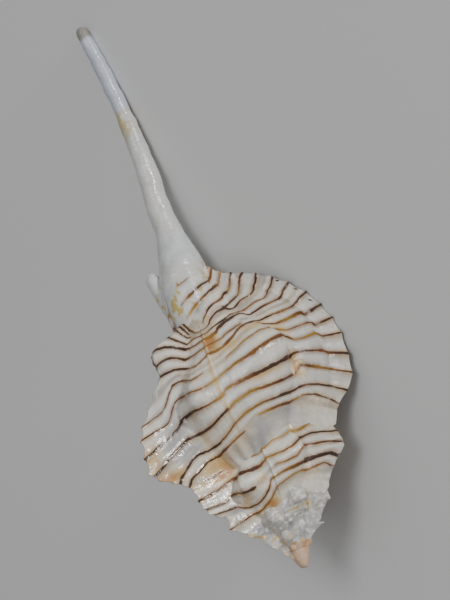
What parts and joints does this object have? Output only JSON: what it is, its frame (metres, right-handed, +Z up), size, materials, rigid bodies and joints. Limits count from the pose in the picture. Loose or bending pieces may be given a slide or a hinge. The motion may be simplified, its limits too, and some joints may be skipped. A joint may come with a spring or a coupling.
{
  "type": "murex shell",
  "caption": "Long-canalled murex shell lying on its lip: a knobbly coiled spire, thin scalloped varix blades, a narrow aperture below and a slender, slit siphonal canal.",
  "frame": {"origin": "on the surface that the shell rests on, under the middle of its bounding box", "axes": "+X from the spire's apex toward the tip of the siphonal canal, +Z up with the aperture turned down, +Y toward the back of the shell as it lies"},
  "size_m": [0.0646, 0.0228, 0.0199],
  "materials": {
    "shell": "gloss"
  },
  "bodies": {
    "root": {"shell": "shell"}
  },
  "joints": []
}
